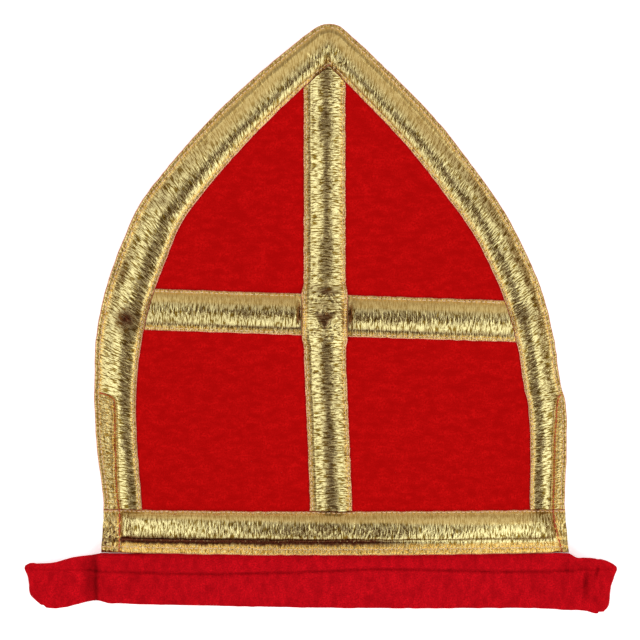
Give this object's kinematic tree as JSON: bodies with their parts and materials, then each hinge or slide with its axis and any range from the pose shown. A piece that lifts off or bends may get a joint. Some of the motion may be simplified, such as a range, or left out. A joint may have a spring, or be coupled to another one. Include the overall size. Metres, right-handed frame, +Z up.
{
  "type": "bishop mitre",
  "caption": "Costume bishop's mitre of red felt: two pointed panels seamed at the sides, padded gold trim and front cross, plush headband.",
  "frame": {"origin": "on the table, under the middle of the bounding box", "axes": "the mitre lies on its back: +Z up through the front panel, +Y from the mouth to the peak, +X to the right as the front is seen"},
  "size_m": [0.3784, 0.3758, 0.0429],
  "materials": {
    "felt": "matte red felt",
    "gold_cloth": "crinkled metallised gold cloth",
    "plush": "short-pile crimson plush"
  },
  "bodies": {
    "root": {"front_panel": "felt", "back_panel": "felt", "front_border": "gold_cloth", "front_crossbar": "gold_cloth", "front_upright": "gold_cloth", "front_mouth_trim": "gold_cloth", "back_border": "gold_cloth", "back_mouth_trim": "gold_cloth", "headband": "plush"}
  },
  "joints": []
}
